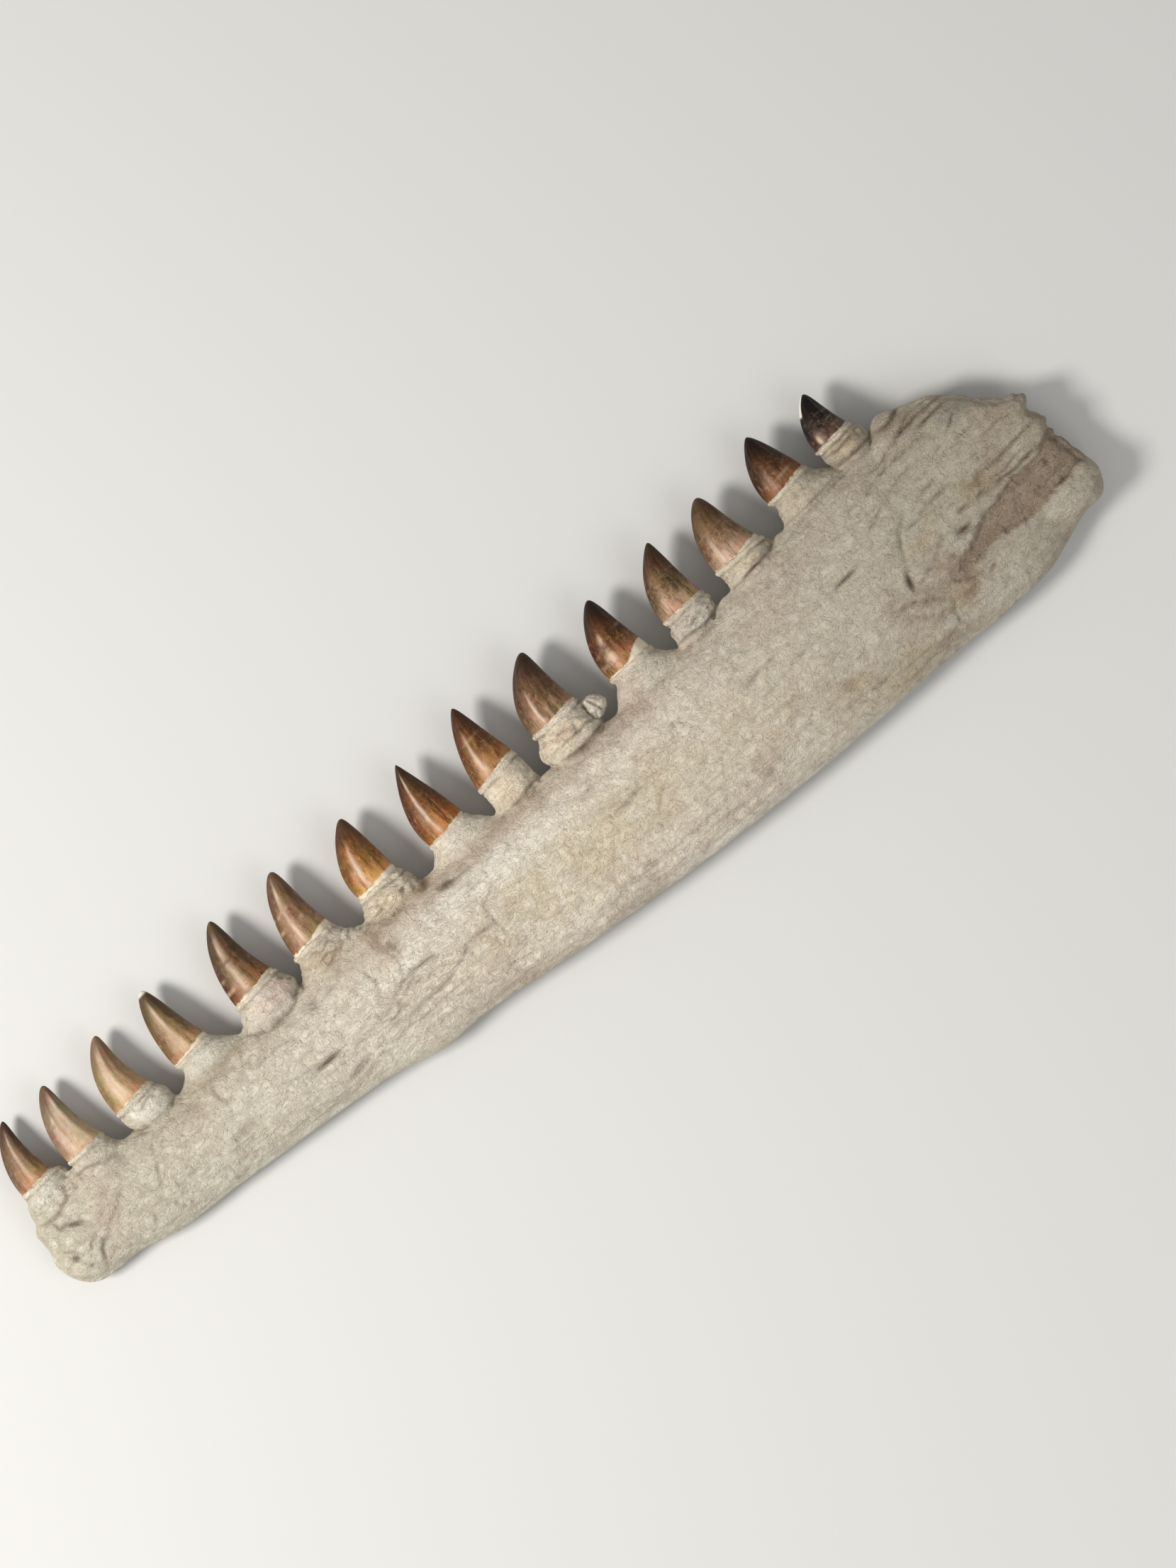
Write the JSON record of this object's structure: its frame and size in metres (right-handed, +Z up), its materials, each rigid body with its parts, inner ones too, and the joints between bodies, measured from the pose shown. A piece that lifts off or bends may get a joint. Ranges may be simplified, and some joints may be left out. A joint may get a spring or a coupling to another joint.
{
  "type": "fossil mosasaur lower jaw",
  "caption": "Fossil left tooth-bearing jaw bone of a mosasaur lying on its inner side, with a row of recurved teeth and part of the splenial.",
  "frame": {"origin": "on the floor under the middle of the jaw's box", "axes": "+X along the jaw from its front end to its broken rear end, +Y across it towards the tooth tips, +Z up out of its outer side"},
  "size_m": [0.6308, 0.1474, 0.035],
  "materials": {
    "fossil_bone": "matt fossil bone in greenish ivory, cream and pinkish tan, with fine grain along the jaw; the tooth crowns are brown fossil enamel with a soft shine",
    "splenial_bone": "matt fossil bone, slightly greyer than the dentary",
    "brown_rock": "rough brown sediment"
  },
  "bodies": {
    "root": {"dentary": "fossil_bone", "splenial": "splenial_bone", "matrix": "brown_rock"}
  },
  "joints": []
}
